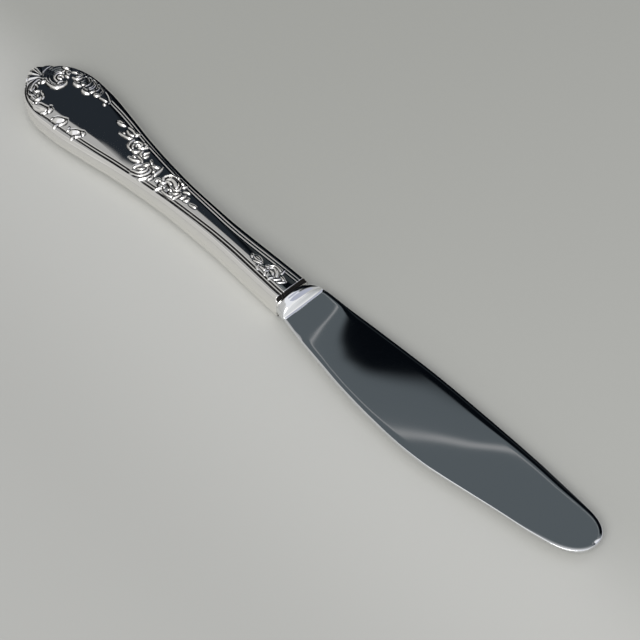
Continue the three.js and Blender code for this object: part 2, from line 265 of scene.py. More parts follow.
ornament = (
    # The great scroll at the butt, on the side of the knife's back
    ((2.4, 4.4, 2.6), (0.06, 0.1, 0.08),
     ((8.2, 7), (6.4, 5.4), (6.1, 3), (7.4, 1.2), (9.4, 0.8), (11, 1.6)), "fan"),
    ((0.3, 1.2, 0.5), (0.3, 0.6, 0.3),
     ((7.8, -0.5), (8.8, -0.6), (10.3, -0.5), (11.7, 0.1), (12.3, 1.3), (12.3, 2.8), (11.6, 3.8))),
    ((0.4, 0.6, 0.4), (0.2, 0.34, 0.25), ((8.6, 5.3), (7.6, 4.4), (7.5, 3.1), (8.4, 2.1), (9.8, 1.9))),
    ((0.5, 0.6, 0.6), (0.3, 0.45, 0.5), ((9.6, 4.2), (8.7, 4.1), (8.5, 3.3), (9.1, 2.8), (9.9, 3.2))),
    ((0.5, 0.7, 0.5), (0.25, 0.4, 0.3), ((10.7, 1.5), (10.5, 2.2), (10.8, 2.9))),
    # Beads and small leaves that crown it
    ((0.8, 1.3, 0.9), (0.4, 0.6, 0.5), ((6.6, 6.8), (7.3, 7), (7.9, 7.2))),
    ((0.5, 0.7, 0.5), (0.3, 0.45, 0.35), ((7.9, 6), (8, 5.3))),
    ((0.6, 1.1, 0.6), (0.2, 0.36, 0.25), ((8.7, 6.3), (9.3, 6.4), (9.9, 6)), "cup"),
    ((0.6, 0.9, 0.7), (0.4, 0.6, 0.5), ((9.8, 5), (10.3, 5.1), (10.7, 5.1))),
    ((0.5, 0.6, 0.5), (0.3, 0.45, 0.35), ((9.9, 7.3), (10.6, 7.8), (11.5, 8.2))),
    # The first leaf of the border on the back's side: nested arcs with a curled tip
    ((1.4, 3, 1.4), (0.05, 0.09, 0.08), ((10.8, 9), (13, 9), (14.4, 7.8), (13.9, 6.4)), "fan"),
    ((0.3, 0.7, 0.4), (0.25, 0.5, 0.35), ((11.5, 6.1), (12.7, 6.2), (13.4, 6.8), (13.6, 7.7))),
    ((0.3, 0.4, 0.3), (0.15, 0.3, 0.2), ((12, 7.1), (12.6, 7.5), (12.7, 8.2))),
    ((0.3, 0.4, 0.3), (0.05, 0.1, 0.1), ((14.2, 8.8), (14.7, 7.8), (14.6, 6.8))),
    ((0.3, 1.2, 0.9), (0.3, 0.62, 0.5), ((13.2, 5.5), (14.2, 4.9), (15.2, 5), (15.8, 5.5))),
    # The second leaf, with a fine comb along its rim
    ((1.6, 3.2, 1.6), (0.05, 0.09, 0.08), ((15, 9.8), (17.2, 9.2), (18.2, 7.8), (17.5, 6.2)), "fan"),
    ((0.5, 0.7, 0.5), (0.06, 0.12, 0.1), ((15.4, 9.3), (16.4, 8.6), (16.9, 7.6), (16.8, 6.6)), "comb"),
    ((0.3, 0.5, 0.3), (0.05, 0.1, 0.12), ((17, 9.6), (18.3, 8.8), (18.8, 7.6), (18.6, 6.6))),
    ((0.5, 0.6, 0.5), (0.3, 0.45, 0.35), ((15.8, 6.1), (16.2, 6.6))),
    ((0.3, 1.3, 1), (0.3, 0.62, 0.5), ((17.2, 5.5), (18, 4.9), (19, 4.9), (19.7, 5.3))),
    # The third, fourth and fifth leaves, each smaller, and the bead that ends the border
    ((1, 2, 1), (0.05, 0.09, 0.08), ((18.6, 9.9), (20.4, 9.2), (21.2, 8), (20.8, 6.8)), "fan"),
    ((0.3, 0.4, 0.3), (0.05, 0.1, 0.1), ((19.2, 9.6), (20.2, 8.6), (20.4, 7.4))),
    ((0.4, 0.7, 0.6), (0.3, 0.5, 0.4), ((19.7, 5.9), (20.1, 6.4), (20.2, 7.1))),
    ((0.3, 0.4, 0.3), (0.05, 0.1, 0.1), ((20.8, 9.6), (22, 8.7), (22.4, 7.6))),
    ((0.5, 0.9, 0.6), (0.3, 0.55, 0.4), ((21.3, 6.3), (22, 6.4), (22.5, 7))),
    ((0.3, 0.4, 0.3), (0.08, 0.14, 0.12), ((22.4, 9.5), (24.3, 9), (26, 8.1), (26.7, 7.2))),
    ((0.4, 0.8, 0.5), (0.3, 0.55, 0.4), ((23.3, 6.7), (24.5, 6.9), (25.6, 7.1))),
    ((0.5, 0.7, 0.6), (0.35, 0.5, 0.45), ((25.9, 6), (26.4, 5.9))),
    # The scroll at the butt on the side of the knife's edge
    ((1.6, 3.2, 2.2), (0.08, 0.12, 0.1),
     ((5.8, -1.6), (6.4, -3.8), (7.6, -5.6), (9.4, -6.6), (11.2, -6.8))),
    ((0.4, 0.7, 0.5), (0.2, 0.34, 0.25),
     ((5.6, -1.2), (5.7, -3.1), (6.6, -5), (8, -6.3), (9.6, -6.9), (11.4, -7.1))),
    ((0.4, 0.8, 0.5), (0.1, 0.25, 0.2), ((7.6, -7.6), (9.4, -8.2), (11.8, -8.2))),
    ((0.3, 0.5, 0.3), (-0.15, -0.2, -0.15),
     ((4.9, -2), (5.2, -4.2), (6.2, -5.9), (7.8, -7.1), (9.4, -7.5))),
    ((0.5, 1, 0.5), (-0.05, -0.12, -0.05), ((6.8, -3.6), (7.8, -4.2), (8.4, -5.6))),
    ((0.7, 1.4, 1), (0.4, 0.6, 0.5), ((6.9, -0.4), (7.3, -0.9), (7.3, -1.4))),
    ((0.4, 0.5, 0.4), (0.25, 0.4, 0.3), ((6.6, -1.9), (6.8, -2.4))),
    ((0.4, 0.7, 0.5), (0.3, 0.5, 0.4), ((8.3, -5.2), (9, -5), (9.5, -4.2))),
    ((0.6, 1, 0.7), (0.2, 0.34, 0.25), ((7.4, -6.3), (8.4, -6.7), (9.4, -6.3)), "cup"),
    ((0.3, 0.4, 0.3), (0.2, 0.3, 0.2), ((9.9, -3.9), (11.2, -4.2), (12.2, -5), (12.5, -6.2))),
    ((0.7, 1.5, 1), (0.4, 0.62, 0.5), ((10.4, -5.5), (11.4, -5.7), (11.8, -6.4), (11.5, -7))),
    ((0.4, 0.6, 0.4), (0.3, 0.45, 0.35), ((12.5, -7.4), (12.4, -8.3))),
    # The three leaves that follow it along the edge's side
    ((1.6, 2.5, 1.2), (0.3, 0.42, 0.46), ((13, -8.5), (14.8, -8), (16.8, -7.5)), "lip"),
    ((0.8, 1.3, 0.9), (0.4, 0.62, 0.45), ((16.6, -6.3), (17.3, -6.4), (17.6, -7.3))),
    ((0.5, 0.8, 0.6), (0.35, 0.5, 0.4), ((17.5, -7.8), (17.2, -8.4), (16.5, -8.9))),
    ((1, 2.3, 0.8), (0.34, 0.5, 0.52), ((20.8, -8.2), (21.8, -7.3), (23.2, -6.2)), "lip"),
    ((0.4, 0.7, 0.6), (0.35, 0.58, 0.45), ((23.4, -5.6), (24.1, -6.2), (24.1, -7.4), (23.4, -8.4))),
    ((0.5, 0.9, 0.9), (0.35, 0.5, 0.4), ((23.2, -8.3), (23.1, -9), (23.3, -9.7))),
    ((0.5, 0.6, 0.4), (0.3, 0.45, 0.35), ((20.4, -7.8), (20.4, -8.5))),
    ((0.9, 1.9, 0.7), (0.34, 0.5, 0.52), ((27.7, -7.7), (28.5, -6.9), (29.6, -5.9)), "lip"),
    ((0.5, 0.6, 0.4), (0.3, 0.45, 0.35), ((27.2, -7.3), (27, -8))),
    ((0.4, 0.5, 0.4), (0.2, 0.3, 0.2), ((26.2, -6.6), (26.5, -7.3))),
    ((0.7, 1.1, 0.9), (0.4, 0.6, 0.5), ((30.2, -5.3), (30.8, -5.3), (31.1, -5.9))),
    ((0.6, 0.8, 0.9), (0.3, 0.5, 0.4), ((31, -6.4), (30.4, -7.4), (29.7, -8))),
    ((0.5, 0.8, 0.7), (0.3, 0.45, 0.35), ((29.7, -8), (30, -8.9))),
    # Grooves along the far sides of these leaves
    ((0.3, 0.5, 0.3), (-0.15, -0.25, -0.15), ((12.8, -8.2), (13.3, -7.1), (14.8, -6.7), (16.2, -6.2))),
    ((0.3, 0.5, 0.3), (-0.1, -0.2, -0.1), ((16, -5.5), (16.5, -5.3))),
    ((0.3, 0.45, 0.3), (-0.15, -0.25, -0.15), ((20.2, -7.6), (20.9, -6.4), (22.3, -5.7), (23.3, -5.1))),
    ((0.3, 0.45, 0.3), (-0.15, -0.25, -0.15), ((27.2, -6.9), (27.9, -5.9), (29.3, -5.2), (30.2, -4.6))),
    # The spray beyond the first threads: a husk, two sprigs and a ring scroll
    ((0.3, 1.1, 0.4), (0.2, 0.5, 0.3), ((33.8, 4.6), (35.2, 4.7), (36.6, 5.1))),
    ((0.3, 0.5, 0.3), (0.2, 0.35, 0.25), ((33.7, 4.9), (34.4, 5.3), (35.2, 5.2))),
    ((0.3, 0.5, 0.4), (0.2, 0.35, 0.3), ((37.5, 5.5), (39.5, 5.6), (40.9, 5.2))),
    ((0.3, 0.7, 0.5), (0.2, 0.5, 0.4), ((38.2, 4.5), (39.8, 4), (41, 4.3))),
    ((0.5, 0.7, 0.5), (0.35, 0.55, 0.4), ((41.6, 4.9), (41.7, 5.9))),
    ((0.3, 0.8, 0.5), (0.2, 0.55, 0.4), ((37.4, 2.2), (39.3, 2.4), (40.9, 2.8), (41.5, 3.4))),
    ((0.4, 0.5, 0.4), (0.3, 0.4, 0.3), ((38.2, 3.2), (38.7, 3))),
    ((0.4, 0.7, 0.5), (0.25, 0.5, 0.35), ((42.3, 3.6), (42.4, 1.9), (43.2, 0.8), (44.6, 0.5))),
    ((0.6, 1.1, 0.7), (0.35, 0.6, 0.4), ((45.3, 0.6), (46.1, 0.9), (46.7, 1.8))),
    ((0.3, 0.6, 0.4), (0.25, 0.4, 0.3), ((43, 3), (43.6, 3.9), (44.8, 4.2), (45.4, 3.4), (44.6, 2.7))),
    ((0.4, 0.5, 0.4), (0.3, 0.4, 0.3), ((43.5, 2.4), (43.9, 1.6), (44.5, 1.3))),
    ((0.4, 0.5, 0.4), (0.3, 0.45, 0.3), ((44.9, 3.5), (44.2, 3), (44.6, 2.5))),
    ((0.4, 0.6, 0.5), (0.3, 0.5, 0.4), ((45.6, 2.5), (46.5, 3.2), (47.1, 4.4))),
    ((0.4, 0.5, 0.4), (0.25, 0.4, 0.3), ((45.3, 5), (46.3, 4.8), (46.6, 4.1))),
    ((0.3, 0.5, 0.3), (0.2, 0.4, 0.3), ((47.3, 2.6), (47.5, 1.6), (48.4, 1.1))),
    ((0.3, 0.6, 0.3), (0.2, 0.5, 0.3), ((48.4, 1.9), (48.7, 2.8), (48.8, 3.6))),
    ((0.3, 0.5, 0.5), (0.25, 0.45, 0.4), ((49, 1.3), (49.6, 1.6), (49.7, 2.4))),
    ((0.5, 0.6, 0.5), (0.35, 0.5, 0.4), ((47.2, -0.4), (47.5, -0.4))),
    ((0.3, 0.5, 0.4), (0.25, 0.4, 0.3), ((47.9, 0.5), (49.2, 0.4), (50.2, -0.1))),
    ((0.3, 0.9, 0.5), (0.2, 0.58, 0.4), ((46.5, -1.6), (47.8, -1.5), (49.2, -0.8), (49.6, -0.3))),
    ((0.5, 1, 0.6), (0.3, 0.55, 0.4), ((50.8, -0.8), (50.4, -1.9), (50.2, -3))),
    ((0.4, 0.9, 0.5), (0.3, 0.55, 0.4), ((51.6, -0.5), (52, 0.1), (52.2, 0.9))),
    ((0.4, 0.5, 0.4), (0.25, 0.4, 0.3), ((51.5, 2), (52.3, 1.6), (52.7, 0.8))),
    ((0.4, 0.8, 0.5), (0.08, 0.3, 0.3),
     ((51, -4.8), (52.8, -4.3), (53.9, -3.2), (54.3, -1.8), (54.1, -0.5), (53.3, 0.1))),
    ((0.4, 0.8, 0.6), (0.08, 0.35, 0.4),
     ((50.6, -3.8), (51.9, -3.4), (52.9, -2.6), (53.3, -1.5), (53, -0.4))),
    ((0.5, 0.9, 0.5), (0.3, 0.45, 0.35), ((51.3, -2.4), (52.1, -1.9), (52.5, -1.2))),
    ((0.3, 0.34, 0.3), (-0.16, -0.25, -0.2),
     ((49.4, -4.65), (51, -4.3), (52.4, -3.8), (53.3, -3),
      (53.8, -2), (53.8, -1), (53.3, -0.3))),
    ((0.3, 0.36, 0.3), (-0.16, -0.25, -0.2),
     ((52, -4.95), (53.3, -4.4), (54.2, -3.6), (54.8, -2.4),
      (54.9, -1), (54.3, 0.1), (53.5, 0.5), (52.8, 0.4))),
    ((0.4, 0.7, 0.4), (0.25, 0.5, 0.35), ((53.5, 1.2), (54.2, 1.3), (55, 1.8))),
    # The long leaf that parts the threads, and the flower scroll after it
    ((0.4, 1.2, 0.8), (0.25, 0.6, 0.4),
     ((55.8, 2.4), (56.1, 1), (56.1, -0.6), (55.7, -2.6), (54.4, -4.8))),
    ((0.6, 0.9, 0.6), (0.35, 0.55, 0.4), ((54.9, -0.1), (55.5, -0.2))),
    ((0.4, 0.8, 0.5), (0.25, 0.5, 0.35), ((55.8, -0.9), (56.4, -2), (56.3, -3)), "lip"),
    ((0.3, 0.5, 0.4), (0.25, 0.45, 0.3),
     ((61.1, 3.1), (59.8, 2.7), (58.9, 1.7), (58.7, 0.6), (59.3, -0.1))),
    ((0.6, 1.8, 1), (0.3, 0.6, 0.4), ((59.9, 0.9), (60.9, 1.8), (62.5, 1.8), (63.8, 1.1), (64.1, 0.5))),
    ((0.4, 0.6, 0.4), (0.25, 0.45, 0.3), ((60, 0.1), (61, 0.5), (61.9, 0.5))),
    ((0.3, 0.5, 0.4), (0.25, 0.45, 0.3), ((64.6, 1.6), (65, 0.6), (64.5, -0.3), (63.4, -0.2))),
    ((0.5, 0.6, 0.5), (0.35, 0.5, 0.4), ((61.7, 3.5), (61.6, 3))),
    ((0.5, 0.8, 0.6), (0.35, 0.5, 0.4), ((63.4, 2.7), (64.2, 2.8))),
    ((0.4, 0.6, 0.4), (0.3, 0.5, 0.3), ((65.6, 3), (65.4, 2.2), (65.1, 1.9))),
    ((0.3, 0.6, 0.6), (0.3, 0.5, 0.4), ((66.5, 1.1), (67.2, 1.5), (67.9, 1.8))),
    ((0.4, 0.8, 0.5), (0.3, 0.5, 0.35), ((58.2, -1.8), (58.3, -0.9))),
    ((0.5, 0.8, 0.5), (0.3, 0.5, 0.35), ((58.9, -1), (59.9, -0.9), (60.5, -0.2))),
    ((0.5, 1.2, 0.9), (0.3, 0.58, 0.4), ((61.5, -1.6), (61, -2.4), (60.5, -3.6))),
    ((0.5, 0.8, 0.6), (0.3, 0.5, 0.4), ((62.9, -1.2), (63.6, -1))),
    ((0.4, 0.6, 0.5), (0.3, 0.5, 0.4), ((64.9, -1.3), (65.5, -0.9), (65.8, -0.4))),
    ((0.4, 0.7, 0.9), (0.25, 0.45, 0.4), ((62, -2.8), (63.6, -2.9), (65.3, -2.4))),
    ((0.4, 0.7, 0.5), (0.3, 0.5, 0.35), ((66.3, -2.6), (66.5, -1.5), (66.6, -0.3))),
    ((0.4, 0.7, 0.6), (0.3, 0.5, 0.4), ((67.5, -1), (67.9, -0.4), (68, 0.2))),
    ((0.4, 1, 0.7), (0.3, 0.52, 0.4), ((68.9, -0.9), (69.4, -0.3), (69.3, 0.2))),
    ((0.4, 0.8, 0.6), (0.25, 0.45, 0.4), ((71, -0.6), (72.2, -0.4), (72.8, -0.3))),
    # Dark hollows inside the flower scroll and between its leaves
    ((0.3, 0.5, 0.3), (-0.15, -0.3, -0.15),
     ((59.3, 0.6), (59.5, 1.7), (60.4, 2.5), (62, 2.7), (63.6, 2.3), (64.5, 1.1))),
    ((0.4, 0.7, 0.4), (-0.2, -0.35, -0.2), ((60.9, -0.3), (61.8, -0.4), (62.6, -0.7))),
    ((0.4, 0.7, 0.4), (-0.2, -0.35, -0.2), ((63.2, -1.3), (63.5, -2.2), (64.5, -2.4))),
    ((0.4, 0.6, 0.3), (-0.2, -0.3, -0.2), ((59.1, -1.1), (59.2, -2), (59.9, -2.5))),
    ((0.3, 0.4, 0.3), (-0.2, -0.3, -0.2), ((60.7, -2.4), (61.2, -2), (61.7, -2.3))),
    ((0.3, 0.45, 0.3), (-0.2, -0.3, -0.2), ((64.4, -0.6), (65.3, -0.4), (65.7, 0.5))),
    ((0.3, 0.45, 0.3), (-0.2, -0.3, -0.2), ((50, -2.2), (50.2, -1.2))),
    ((0.3, 0.5, 0.3), (-0.2, -0.3, -0.2), ((52.2, 1.1), (53, 0.9))),
    # The small spray at the mouth
    ((0.2, 0.4, 0.3), (0.12, 0.24, 0.16), ((95.6, 0.2), (96.2, -0.4))),
    ((0.5, 1.1, 0.5), (0.12, 0.24, 0.16), ((96.5, 0.3), (97.6, 0.4), (98.8, 0.3)), "cup"),
    ((0.3, 0.5, 0.3), (0.12, 0.24, 0.16), ((97.3, -0.8), (98.3, -0.5), (99.4, -0.1))),
    ((0.3, 0.5, 0.4), (0.12, 0.24, 0.16), ((99.1, -0.8), (99.5, -1.6), (100.2, -2.1))),
    ((0.4, 0.9, 0.5), (0.14, 0.26, 0.18), ((100, -0.9), (101.4, -0.8), (102.4, -1.2))),
    ((0.3, 0.4, 0.3), (0.12, 0.22, 0.16), ((101, 0.3), (101.6, 0.6), (101.9, 0.1))),
    ((0.3, 0.5, 0.3), (0.12, 0.26, 0.16), ((101.6, 1), (102.4, 1.9), (103.8, 2.1), (105, 1.8))),
    ((0.4, 0.6, 0.4), (0.14, 0.28, 0.18),
     ((102.1, 0.6), (102.8, 1.3), (103.8, 1.2), (104.8, 0.7), (105.5, -0.1))),
    ((0.3, 0.5, 0.3), (0.14, 0.24, 0.16), ((102.9, 0.1), (103.7, 0.1), (104.4, -0.4))),
    ((0.3, 0.5, 0.4), (0.14, 0.26, 0.18), ((102.4, -0.3), (102.3, -1.2), (102.8, -1.9))),
    ((0.4, 0.6, 0.4), (0.14, 0.26, 0.18), ((105, -1), (104.6, -1.7), (104.7, -2.3))),
    ((0.3, 0.4, 0.4), (0.12, 0.24, 0.16), ((105.4, 2.8), (105.7, 1.9), (105.8, 1.4))),
    ((0.3, 0.5, 0.4), (0.14, 0.26, 0.18), ((105.7, -1.4), (106.3, -0.8), (106.7, 0))),
    ((0.3, 0.4, 0.3), (0.12, 0.22, 0.16), ((106.5, 0.7), (107.2, 0.5), (107.8, 0.3))),
    ((0.3, 0.5, 0.3), (0.12, 0.24, 0.16), ((107.1, -1.3), (107.7, -0.7), (108.4, 0.2))),
)
for stroke in ornament:
    press(*stroke)


def blurred(heights, steps):
    """Heights evened out over a few grid steps each way"""
    for axis in (0, 1):
        total = np.zeros_like(heights)
        for shift in range(-steps, steps + 1):
            total += np.roll(heights, shift, axis)
        heights = total / (2 * steps + 1)
    return heights


# Two threads, each a fine groove, run inside the border from the last leaves to the mouth. On the
# side of the edge the outer one also runs on round the butt, below the leaves and the scroll.
thread_inset = ((4, 8, 13, 20, 27, 33, 55, 75, 93, 111.4),
                (1.1, 0.75, 1.3, 2.45, 2.55, 2.2, 1.85, 2.1, 2.45, 2.3))
thread_gap = 0.85
thread_half = 0.19
near_depths = ((0, 55, 80, 111.4), (0.18, 0.2, 0.26, 0.26))
far_depths = ((0, 40, 60, 75, 111.4), (0.085, 0.08, 0.045, 0.03, 0.035))
butt_thread_start = (4, 5.5)
butt_thread_depth = 1.3
butt_thread_end = 31
open_thread_end = 13
inner_start = (30.2, 31.4)
far_start = (25.6, 27.4)
outer_gap = (52.6, 53.4, 55.4, 56.2)
inner_gap = (49.6, 50.6, 55.8, 56.8)
steepest_lean = 3
wide_x = grid_x[:, None]
lean = np.clip(np.gradient(half_width(grid_x), grid_x), 0, steepest_lean)[:, None]
rim_distance = (half_width(wide_x) - np.abs(grid_y)) / np.sqrt(1 + lean ** 2)
outer_place = smooth_table(thread_inset, wide_x)
outer = np.exp(-((rim_distance - outer_place) / thread_half) ** 2)
inner = np.exp(-((rim_distance - outer_place - thread_gap) / thread_half) ** 2)
outer_parted = 1 - ease(wide_x, *outer_gap[:2]) + ease(wide_x, *outer_gap[2:])
inner_parted = ease(wide_x, *inner_start) - ease(wide_x, *inner_gap[:2]) + ease(wide_x, *inner_gap[2:])
near_threads = (outer * outer_parted + inner * inner_parted) * smooth_table(near_depths, wide_x)
far_threads = (outer + inner) * ease(wide_x, *far_start) * smooth_table(far_depths, wide_x)
threads = -np.where(grid_y < 0, near_threads, far_threads)
butt_thread = ease(wide_x, *butt_thread_start) * butt_thread_depth
threads = threads * np.where((grid_y > 0) | (wide_x > butt_thread_end), 1, butt_thread)
open_thread = (grid_y < 0) & (wide_x < open_thread_end)
threads = threads * np.where(open_thread, 1, 1 - covered)

# The rim on the side of the back stays plain. Tarnish and painted shade gather where a place lies
# lower than what is round it, in the cuts and in the threads on the side of the edge: the dark
# there is partly the silver's own tarnish and partly shade painted into its colour.
far_rim_start = 6
far_rim_width = (0.6, 1.2)
tarnish_and_shade_steps = 6
hollow_tarnish_and_shade = 5
cut_tarnish_and_shade = 6
near_thread_tarnish_and_shade = 4.5
far_rim = (grid_y > 0) * (wide_x > far_rim_start) * (1 - ease(rim_distance, *far_rim_width))
relief = blurred(relief * (1 - far_rim), 1)
hollows = (blurred(relief, tarnish_and_shade_steps) - relief) * hollow_tarnish_and_shade
tarnish_and_shade = blurred(np.clip(hollows + np.clip(-relief, 0, 1) * cut_tarnish_and_shade, 0, 1), 1)
tarnish_and_shade = np.maximum(tarnish_and_shade, np.where(grid_y < 0, -threads * near_thread_tarnish_and_shade, 0))
relief = np.where(open_thread, relief * (1 - outer), relief)
relief = relief + blurred(threads, 1)

# The mouth is rounded down towards the bolster, with painted shade in the joint, where the gap lies in
# shadow
mouth_fall = 0.9
mouth_fall_places = (110.5, 111.2)
joint_shade_places = (110.4, 110.7)
relief = relief - mouth_fall * ease(wide_x, *mouth_fall_places)
tarnish_and_shade = np.maximum(tarnish_and_shade, ease(wide_x, *joint_shade_places))


def sample(field, x, y):
    """Read a grid of values at places between its points"""
    u = np.clip((x - grid_x[0]) / GRID, 0, len(grid_x) - 1.001)
    v = np.clip((y - grid_y[0]) / GRID, 0, len(grid_y) - 1.001)
    i, j = u.astype(int), v.astype(int)
    u, v = u - i, v - j
    return ((field[i, j] * (1 - u) + field[i + 1, j] * u) * (1 - v)
            + (field[i, j + 1] * (1 - u) + field[i + 1, j + 1] * u) * v)


# The stations and the rows across them lie close together where there is ornament. At each
# station a unit vector (in_x, in_y) points inwards from the outline. A row across the stamping
# is on its wall, its border or its panel.
station_zones = ((handle_length, 94, 0.16), (94, 75, 0.5), (75, 34, 0.16), (34, butt_end, 0.17))
butt_stations = 140
slope_step = 0.5
side_x = np.concatenate([np.linspace(a, b, round((a - b) / pitch), endpoint=False)
                         for a, b, pitch in station_zones])
butt_turns = 1 - np.linspace(0, 1, butt_stations)
butt_angle = butt_turns * np.pi / 2
station_x = np.concatenate([side_x, butt_end * (1 - np.cos(butt_angle))])
station_half = half_width(station_x)
ahead_x = np.minimum(station_x + slope_step, handle_length)
behind_x = station_x - slope_step
in_x = (half_width(ahead_x) - half_width(behind_x)) / (ahead_x - behind_x)
in_y = -np.ones_like(in_x)
in_x[-butt_stations:] = 2 * butt_half / butt_round * np.cos(butt_angle)
in_y[-butt_stations:] = -butt_end * np.sin(butt_angle) ** (2 - 2 / butt_round)
in_x[0] = 0
in_size = np.hypot(in_x, in_y)
in_x, in_y = in_x / in_size, in_y / in_size

wall_rows = 9
top_rows = 8
thread_rows = 18
thread_reach = 1.5
border_rows = 44
panel_rows = 24
least_panel = 1.2
least_border = 0.6
widest_border = 7.4
full_relief = (0.2, 1)
wall_angle = np.linspace(0, np.pi / 2, wall_rows)
wall_inset = shoulder * (1 - np.cos(wall_angle) ** (2 / shoulder_round))
wall_rise = np.sin(wall_angle) ** (2 / shoulder_round)
wall_inset[-1], wall_rise[-1] = shoulder, 1
inner_rows = ((0, 0), (0.35, 0.9), (0.7, 1), (1, 1))
inner_reach = 2 * shoulder
inner_drop = 0.5


def stamping(name):
    """One half of the handle: its outer face with the ornament, and a plain inner face"""
    turns = np.concatenate([np.ones_like(side_x), butt_turns])
    ribs = rib_depth * scallops(turns)
    notch = np.exp(-((station_x - shell_end) / notch_width) ** 2)
    border = shoulder * smooth_table(shoulder_shares, station_x)
    full = border_height(station_x)
    top = full * (1 - rib_drop * ribs)
    reach = np.clip(station_half - least_panel, shoulder + thread_reach + least_border, widest_border)
    rows = []

    def add_inset_row(inset, z, outline_inset):
        inset = inset + (notch_depth * notch + ribs) * np.clip(1 - inset / border, 0, 1)
        y = np.maximum(station_half + in_y * inset, station_half * butt_close)
        rows.append((station_x + in_x * inset, -y, z, outline_inset))

    for inset, rise in zip(wall_inset, wall_rise):
        add_inset_row(inset * border / shoulder, seam_half + (top - seam_half) * rise, inset)
    for row in range(1, border_rows + 1):
        in_threads = min(row / thread_rows, 1) * thread_reach
        past = max(row - thread_rows, 0) / (border_rows - thread_rows)
        inset = border + in_threads + (reach - border - thread_reach) * past
        add_inset_row(inset, full - (full - top) * (1 - min(row / top_rows, 1)), shoulder)
    far_side = [(x, -y, z, inset) for x, y, z, inset in rows[::-1]]
    edge_x, edge_y = rows[-1][:2]
    for row in range(1, panel_rows):
        rows.append((edge_x, edge_y * (1 - 2 * row / panel_rows), full, shoulder))
    rows += far_side
    x, y, z = (np.array([row[axis] for row in rows]) for axis in range(3))
    inset = np.array([row[3] for row in rows])[:, None]
    panel_edge = np.maximum(station_half - shoulder, 0)
    crown = (panel_edge ** 2 - y ** 2) / (2 * smooth_table(crown_radii, station_x))
    strength = ease(inset, *full_relief)
    z = z + np.maximum(crown, 0) + np.minimum(crown, 0) * strength
    z = z + sample(relief, x, y) * strength
    # Each point's share of tarnish and painted shade
    tarnish_and_shade_share = sample(tarnish_and_shade, x, y) * strength
    far_rows = []
    for across, up in inner_rows:
        inset = sheet + inner_reach * across
        y_inner = np.maximum(station_half + in_y * inset, station_half * butt_close)
        z_inner = seam_half + (top - sheet - inner_drop - seam_half) * up
        far_rows.append(np.array((station_x + in_x * inset, y_inner, z_inner)))
    near_rows = [row * [[1], [-1], [1]] for row in far_rows[::-1]]
    inner_face = np.stack(far_rows + near_rows, 1)
    points = np.concatenate([np.stack([x, y, z]), inner_face], 1)
    tarnish_and_shade_share = np.vstack([tarnish_and_shade_share, np.zeros(inner_face.shape[1:])])
    return skin(name, points.transpose(2, 1, 0), tarnish_and_shade_share.T)


def skin(name, rings, tarnish_and_shade_values=None):
    """A closed mesh over rings of points, which are joined one after another"""
    stations, rows = rings.shape[:2]
    points = rings.reshape(-1, 3) * METRE + origin
    ring, row = np.meshgrid(np.arange(stations - 1), np.arange(rows), indexing="ij")
    a = ring * rows + row
    b = ring * rows + (row + 1) % rows
    faces = np.stack([a, b, b + rows, a + rows], -1).reshape(-1, 4).tolist()
    faces.append(list(range(rows))[::-1])
    mesh = bpy.data.meshes.new(name)
    mesh.from_pydata(points.tolist(), [], faces)
    if tarnish_and_shade_values is not None:
        attribute = mesh.attributes.new("tarnish_and_shade", "FLOAT", "POINT")
        attribute.data.foreach_set("value", tarnish_and_shade_values.reshape(-1).astype(np.float32))
    piece = in_scene(name, mesh)
    tidy(piece)
    return piece


sharp_angle = math.radians(55)
merge_distance = 2e-6
thin_distance = 1e-7


def tidy(piece):
    """Merge the points that coincide, turn all faces outwards and shade them smoothly"""
    build = bmesh.new()
    build.from_mesh(piece.data)
    bmesh.ops.remove_doubles(build, verts=build.verts, dist=merge_distance)
    bmesh.ops.dissolve_degenerate(build, edges=build.edges, dist=thin_distance)
    bmesh.ops.recalc_face_normals(build, faces=build.faces)
    for face in build.faces:
        face.smooth = True
    for edge in build.edges:
        edge.smooth = edge.calc_face_angle(0) < sharp_angle
    build.to_mesh(piece.data)
    build.free()


class Signal:
    """A socket of a node tree. Sums on signals add their own maths nodes."""

    def __init__(self, board, socket):
        self.board = board
        self.socket = socket

    def __add__(self, other):
        return self.board.maths("ADD", self, other)

    def __sub__(self, other):
        return self.board.maths("SUBTRACT", self, other)

    def __mul__(self, other):
        return self.board.maths("MULTIPLY", self, other)

    def __rsub__(self, other):
        return self.board.maths("SUBTRACT", other, self)

    __radd__ = __add__
    __rmul__ = __mul__

    def step(self, low, high, start=0.0, end=1.0):
        """A smooth step from start to end while this signal goes from low to high"""
        return self.board.add("ShaderNodeMapRange", {"interpolation_type": "SMOOTHSTEP"}, {
            0: self, 1: low, 2: high, 3: start, 4: end})

    def fall(self, low, high):
        """A smooth step from 1 down to 0 while this signal goes from low to high"""
        return self.step(low, high, 1.0, 0.0)

    def band(self, low, full, past, high):
        """1 from full to past, and 0 below low and above high"""
        return self.step(low, full) * self.fall(past, high)


